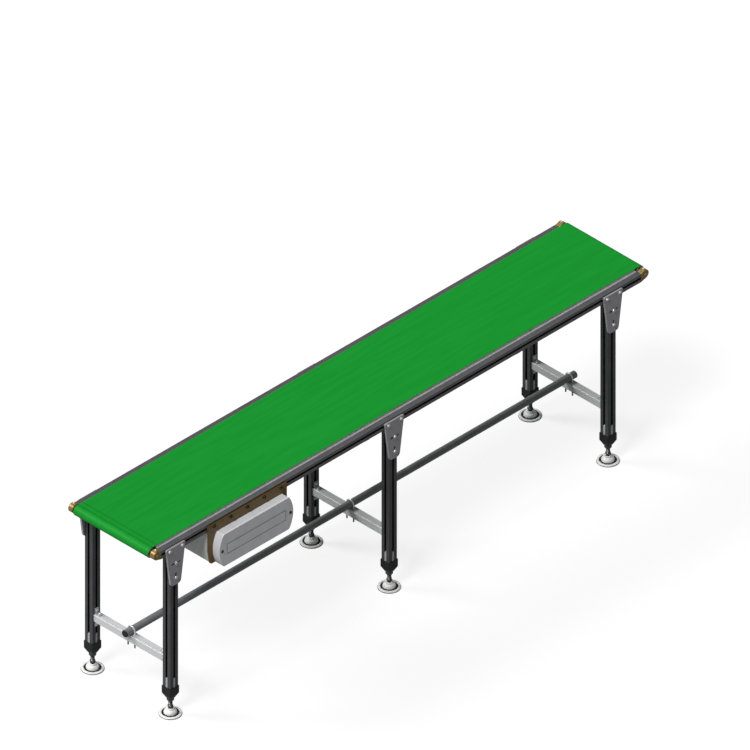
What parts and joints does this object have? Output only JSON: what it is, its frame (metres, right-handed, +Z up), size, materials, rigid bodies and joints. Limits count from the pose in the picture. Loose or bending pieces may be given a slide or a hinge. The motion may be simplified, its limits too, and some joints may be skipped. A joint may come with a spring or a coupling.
{
  "type": "belt conveyor section",
  "caption": "Flat belt conveyor section on levelling legs, with slider bed, nose rollers and an underslung drum drive behind a belt guard.",
  "frame": {"origin": "on the floor, under the middle of the belt's length and width", "axes": "+X from the infeed nose to the outfeed nose, +Y to the side away from the belt guard, +Z up"},
  "size_m": [2.4998, 0.4995, 0.76],
  "materials": {
    "black_anodised": "black anodised extrusion",
    "belt": "smooth green PVC belt cover",
    "bed_sheet": "galvanised sheet steel",
    "roller_steel": "turned zinc-plated steel",
    "end_block": "yellow passivated cast block",
    "bracket_grey": "grey powder coat",
    "zinc_bolt": "bright zinc plate",
    "cap_black": "black moulded nylon",
    "zinc_cast": "as-cast zinc alloy",
    "foot_white": "light grey moulded nylon",
    "beam_silver": "clear anodised tube",
    "tube_grey": "dark grey powder coat",
    "drive_bronze": "bronze powder coat",
    "housing_grey": "light grey powder coat",
    "guard_grey": "light grey powder coat",
    "drum_rubber": "black rubber lagging",
    "motor_blue": "machine grey enamel",
    "timing_rubber": "black polyurethane",
    "pulley": "turned aluminium"
  },
  "bodies": {
    "frame": {"beam_corner_brackets": "zinc_cast", "bed_cross_members": "bed_sheet", "belt_guard": "guard_grey", "centre_cross_beam": "beam_silver", "centre_front_leg": "black_anodised", "centre_rear_leg": "black_anodised", "conveyor_belt": "belt", "corner_bracket_screws": "zinc_bolt", "drive_housing": "housing_grey", "drum_bearings": "pulley", "foot_lock_nuts": "roller_steel", "front_drive_plate": "drive_bronze", "front_side_rail": "black_anodised", "gearbox": "motor_blue", "guard_screws": "cap_black", "infeed_cross_beam": "beam_silver", "infeed_front_leg": "black_anodised", "infeed_rear_leg": "black_anodised", "leg_anchors": "zinc_cast", "leg_brackets": "bracket_grey", "leg_end_caps": "cap_black", "motor": "motor_blue", "nose_clamp_screws": "zinc_bolt", "nose_end_blocks": "end_block", "outfeed_cross_beam": "beam_silver", "outfeed_front_leg": "black_anodised", "outfeed_rear_leg": "black_anodised", "rear_drive_plate": "drive_bronze", "rear_side_rail": "black_anodised", "return_roller_hangers": "zinc_bolt", "roller_axles": "roller_steel", "slider_bed": "bed_sheet", "t_slot_bolts": "zinc_bolt", "t_slot_nuts": "zinc_bolt", "terminal_box": "motor_blue", "tie_tube": "tube_grey", "tie_tube_caps": "cap_black", "timing_belt": "timing_rubber", "tube_u_bolts": "zinc_bolt"},
    "drive_drum": {"drive_drum": "drum_rubber", "drum_pulley": "pulley"},
    "motor_output": {"motor_pulley": "pulley"},
    "infeed_nose_roller": {"infeed_nose_roller": "roller_steel"},
    "outfeed_nose_roller": {"outfeed_nose_roller": "roller_steel"},
    "infeed_snub_roller": {"infeed_snub_roller": "roller_steel"},
    "outfeed_snub_roller": {"outfeed_snub_roller": "roller_steel"},
    "centre_return_roller": {"centre_return_roller": "roller_steel"},
    "outfeed_return_roller": {"outfeed_return_roller": "roller_steel"},
    "infeed_front_stem": {"infeed_front_foot_stem": "roller_steel"},
    "infeed_front_pad": {"infeed_front_foot_pad": "foot_white"},
    "infeed_rear_stem": {"infeed_rear_foot_stem": "roller_steel"},
    "infeed_rear_pad": {"infeed_rear_foot_pad": "foot_white"},
    "centre_front_stem": {"centre_front_foot_stem": "roller_steel"},
    "centre_front_pad": {"centre_front_foot_pad": "foot_white"},
    "centre_rear_stem": {"centre_rear_foot_stem": "roller_steel"},
    "centre_rear_pad": {"centre_rear_foot_pad": "foot_white"},
    "outfeed_front_stem": {"outfeed_front_foot_stem": "roller_steel"},
    "outfeed_front_pad": {"outfeed_front_foot_pad": "foot_white"},
    "outfeed_rear_stem": {"outfeed_rear_foot_stem": "roller_steel"},
    "outfeed_rear_pad": {"outfeed_rear_foot_pad": "foot_white"}
  },
  "joints": [
    {"name": "drum_spin", "type": "hinge", "parent": "frame", "child": "drive_drum", "pos_m": [-0.885, 0, 0.6355], "axis": [0, 1, 0], "continuous": true},
    {"name": "motor_spin", "type": "hinge", "parent": "frame", "child": "motor_output", "pos_m": [-0.658, 0, 0.6355], "axis": [0, 1, 0], "continuous": true},
    {"name": "infeed_nose_spin", "type": "hinge", "parent": "frame", "child": "infeed_nose_roller", "pos_m": [-1.2287, 0, 0.7387], "axis": [0, 1, 0], "continuous": true},
    {"name": "infeed_snub_spin", "type": "hinge", "parent": "frame", "child": "infeed_snub_roller", "pos_m": [-0.9506, 0, 0.6991], "axis": [0, 1, 0], "continuous": true},
    {"name": "outfeed_nose_spin", "type": "hinge", "parent": "frame", "child": "outfeed_nose_roller", "pos_m": [1.2287, 0, 0.7387], "axis": [0, 1, 0], "continuous": true},
    {"name": "outfeed_snub_spin", "type": "hinge", "parent": "frame", "child": "outfeed_snub_roller", "pos_m": [-0.8194, 0, 0.6991], "axis": [0, 1, 0], "continuous": true},
    {"name": "centre_return_spin", "type": "hinge", "parent": "frame", "child": "centre_return_roller", "pos_m": [-0.17, 0, 0.7071], "axis": [0, 1, 0], "continuous": true},
    {"name": "outfeed_return_spin", "type": "hinge", "parent": "frame", "child": "outfeed_return_roller", "pos_m": [0.59, 0, 0.7071], "axis": [0, 1, 0], "continuous": true},
    {"name": "infeed_front_levelling", "type": "slide", "parent": "frame", "child": "infeed_front_stem", "axis": [0, 0, 1], "range_m": [-0.025, 0.02]},
    {"name": "infeed_front_swivel", "type": "hinge", "parent": "infeed_front_stem", "child": "infeed_front_pad", "pos_m": [-1.143, -0.196, 0.015], "axis": [0, 1, 0], "range_deg": [-8, 8]},
    {"name": "infeed_rear_levelling", "type": "slide", "parent": "frame", "child": "infeed_rear_stem", "axis": [0, 0, 1], "range_m": [-0.025, 0.02]},
    {"name": "infeed_rear_swivel", "type": "hinge", "parent": "infeed_rear_stem", "child": "infeed_rear_pad", "pos_m": [-1.143, 0.196, 0.015], "axis": [0, 1, 0], "range_deg": [-8, 8]},
    {"name": "centre_front_levelling", "type": "slide", "parent": "frame", "child": "centre_front_stem", "axis": [0, 0, 1], "range_m": [-0.025, 0.02]},
    {"name": "centre_front_swivel", "type": "hinge", "parent": "centre_front_stem", "child": "centre_front_pad", "pos_m": [-0.041, -0.196, 0.015], "axis": [0, 1, 0], "range_deg": [-8, 8]},
    {"name": "centre_rear_levelling", "type": "slide", "parent": "frame", "child": "centre_rear_stem", "axis": [0, 0, 1], "range_m": [-0.025, 0.02]},
    {"name": "centre_rear_swivel", "type": "hinge", "parent": "centre_rear_stem", "child": "centre_rear_pad", "pos_m": [-0.041, 0.196, 0.015], "axis": [0, 1, 0], "range_deg": [-8, 8]},
    {"name": "outfeed_front_levelling", "type": "slide", "parent": "frame", "child": "outfeed_front_stem", "axis": [0, 0, 1], "range_m": [-0.025, 0.02]},
    {"name": "outfeed_front_swivel", "type": "hinge", "parent": "outfeed_front_stem", "child": "outfeed_front_pad", "pos_m": [1.061, -0.196, 0.015], "axis": [0, 1, 0], "range_deg": [-8, 8]},
    {"name": "outfeed_rear_levelling", "type": "slide", "parent": "frame", "child": "outfeed_rear_stem", "axis": [0, 0, 1], "range_m": [-0.025, 0.02]},
    {"name": "outfeed_rear_swivel", "type": "hinge", "parent": "outfeed_rear_stem", "child": "outfeed_rear_pad", "pos_m": [1.061, 0.196, 0.015], "axis": [0, 1, 0], "range_deg": [-8, 8]}
  ],
  "couplings": [
    {"joint": "motor_spin", "follows": "drum_spin", "ratio": 1.2258},
    {"joint": "infeed_nose_spin", "follows": "drum_spin", "ratio": 2.2808},
    {"joint": "infeed_snub_spin", "follows": "drum_spin", "ratio": -2.399},
    {"joint": "outfeed_nose_spin", "follows": "drum_spin", "ratio": 2.2808},
    {"joint": "outfeed_snub_spin", "follows": "drum_spin", "ratio": -2.399},
    {"joint": "centre_return_spin", "follows": "drum_spin", "ratio": -4.0973},
    {"joint": "outfeed_return_spin", "follows": "drum_spin", "ratio": -4.0973}
  ]
}
